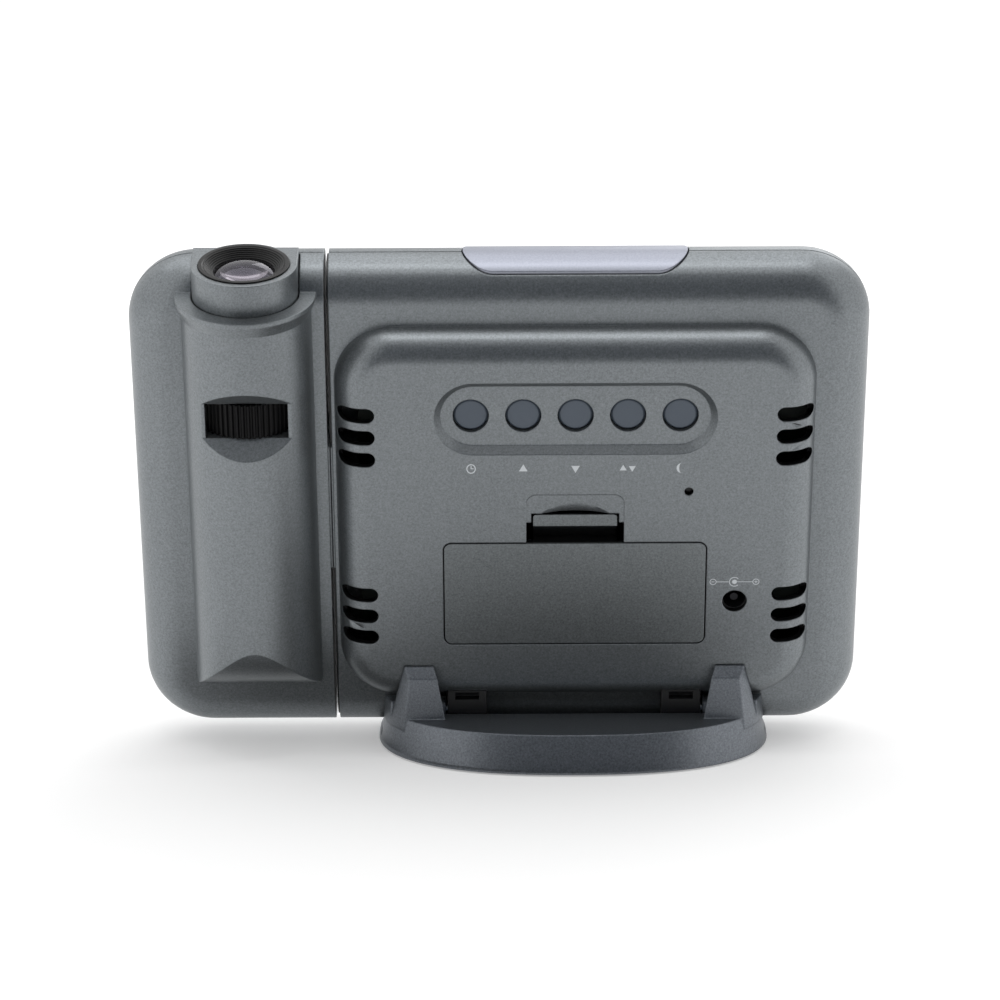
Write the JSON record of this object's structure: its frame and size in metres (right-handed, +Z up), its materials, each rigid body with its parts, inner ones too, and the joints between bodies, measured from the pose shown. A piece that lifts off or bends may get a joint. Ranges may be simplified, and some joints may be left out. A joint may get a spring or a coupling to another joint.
{
  "type": "projection alarm clock",
  "caption": "Leaning desk alarm clock with a turning projector wing, snooze bar, rear buttons and battery door, on an oval stand.",
  "frame": {"origin": "middle of the bounding box's bottom, on the table", "axes": "+Z up, the display looks to -Y, the rear buttons and the projector tube look to +Y, the wing is at +X"},
  "size_m": [0.18, 0.0878, 0.1323],
  "materials": {
    "painted_plastic": "satin metallic grey paint",
    "door_plastic": "satin metallic grey paint",
    "button_plastic": "satin",
    "silver_plastic": "silver paint",
    "black_plastic": "matte",
    "pad_rubber": "matte",
    "steel": "plain",
    "brass": "plain",
    "contact_metal": "nickel plated",
    "circuit_board": "solder resist",
    "cell_can": "printed sleeve without marks",
    "clear_window": "smoked clear",
    "lcd_glass": "satin",
    "light_guide": "white",
    "lamp_resin": "clear resin",
    "lens_glass": "polished"
  },
  "bodies": {
    "stand": {"stand_base": "painted_plastic", "stand_pads": "pad_rubber", "hinge_pins": "steel"},
    "housing": {"rear_cover": "painted_plastic", "front_bezel": "painted_plastic", "display_window": "clear_window", "lcd_panel": "lcd_glass", "backlight": "light_guide", "main_board": "circuit_board", "board_screws": "steel", "standoffs": "brass", "key_board": "circuit_board", "key_switches": "black_plastic", "buzzer": "black_plastic", "temperature_sensor": "black_plastic", "power_socket": "black_plastic", "socket_pin": "contact_metal", "battery_cells": "cell_can", "battery_springs": "contact_metal", "battery_plates": "contact_metal", "case_screws": "steel", "seam_plate": "black_plastic", "wing_axle": "black_plastic", "axle_ring": "steel", "projector_lead": "black_plastic"},
    "wing": {"wing_rear_cover": "painted_plastic", "wing_front_cover": "painted_plastic", "lens_collar": "painted_plastic", "optics_frame": "black_plastic", "led_board": "circuit_board", "led_lamp": "lamp_resin", "condenser_lens": "lens_glass", "image_lcd": "lcd_glass", "wing_screws": "steel"},
    "focus": {"focus_wheel": "black_plastic"},
    "barrel": {"lens_barrel": "black_plastic", "projection_lens": "lens_glass"},
    "snooze": {"snooze_bar": "silver_plastic"},
    "key_1": {"button_1": "button_plastic"},
    "key_2": {"button_2": "button_plastic"},
    "key_3": {"button_3": "button_plastic"},
    "key_4": {"button_4": "button_plastic"},
    "key_5": {"button_5": "button_plastic"},
    "reset": {"reset_pin": "black_plastic"},
    "door": {"battery_door": "door_plastic"}
  },
  "joints": [
    {"name": "body_tilt", "type": "hinge", "parent": "stand", "child": "housing", "pos_m": [-0.0184, 0.00213, 0.0098], "axis": [1, 0, 0], "range_deg": [0, 6]},
    {"name": "wing_turn", "type": "hinge", "parent": "housing", "child": "wing", "pos_m": [0.04155, 0.00255, 0.06733], "axis": [1, 0, 0], "range_deg": [-90, 90]},
    {"name": "focus_turn", "type": "hinge", "parent": "wing", "child": "focus", "pos_m": [0.0608, 0.02047, 0.0943], "axis": [0, 0.2504, 0.9681], "range_deg": [-90, 90]},
    {"name": "barrel_slide", "type": "slide", "parent": "wing", "child": "barrel", "axis": [0, 0.2504, 0.9681], "range_m": [-0.00149, 0.00149]},
    {"name": "snooze_press", "type": "slide", "parent": "housing", "child": "snooze", "axis": [0, -0.2504, -0.9681], "range_m": [0, 0.001], "stiffness_N_per_m": 500, "springref_m": -0.001},
    {"name": "key_1_press", "type": "slide", "parent": "housing", "child": "key_1", "axis": [0, -0.9681, 0.2504], "range_m": [0, 0.0008], "stiffness_N_per_m": 400, "springref_m": -0.0006},
    {"name": "key_2_press", "type": "slide", "parent": "housing", "child": "key_2", "axis": [0, -0.9681, 0.2504], "range_m": [0, 0.0008], "stiffness_N_per_m": 400, "springref_m": -0.0006},
    {"name": "key_3_press", "type": "slide", "parent": "housing", "child": "key_3", "axis": [0, -0.9681, 0.2504], "range_m": [0, 0.0008], "stiffness_N_per_m": 400, "springref_m": -0.0006},
    {"name": "key_4_press", "type": "slide", "parent": "housing", "child": "key_4", "axis": [0, -0.9681, 0.2504], "range_m": [0, 0.0008], "stiffness_N_per_m": 400, "springref_m": -0.0006},
    {"name": "key_5_press", "type": "slide", "parent": "housing", "child": "key_5", "axis": [0, -0.9681, 0.2504], "range_m": [0, 0.0008], "stiffness_N_per_m": 400, "springref_m": -0.0006},
    {"name": "reset_press", "type": "slide", "parent": "housing", "child": "reset", "axis": [0, -0.9681, 0.2504], "range_m": [0, 0.0006], "stiffness_N_per_m": 300, "springref_m": -0.0006},
    {"name": "door_open", "type": "hinge", "parent": "housing", "child": "door", "pos_m": [-0.0184, 0.01076, 0.02957], "axis": [-1, 0, 0], "range_deg": [0, 60]}
  ],
  "couplings": [
    {"joint": "focus_turn", "follows": "barrel_slide", "rad_per_m": 1047.2}
  ]
}
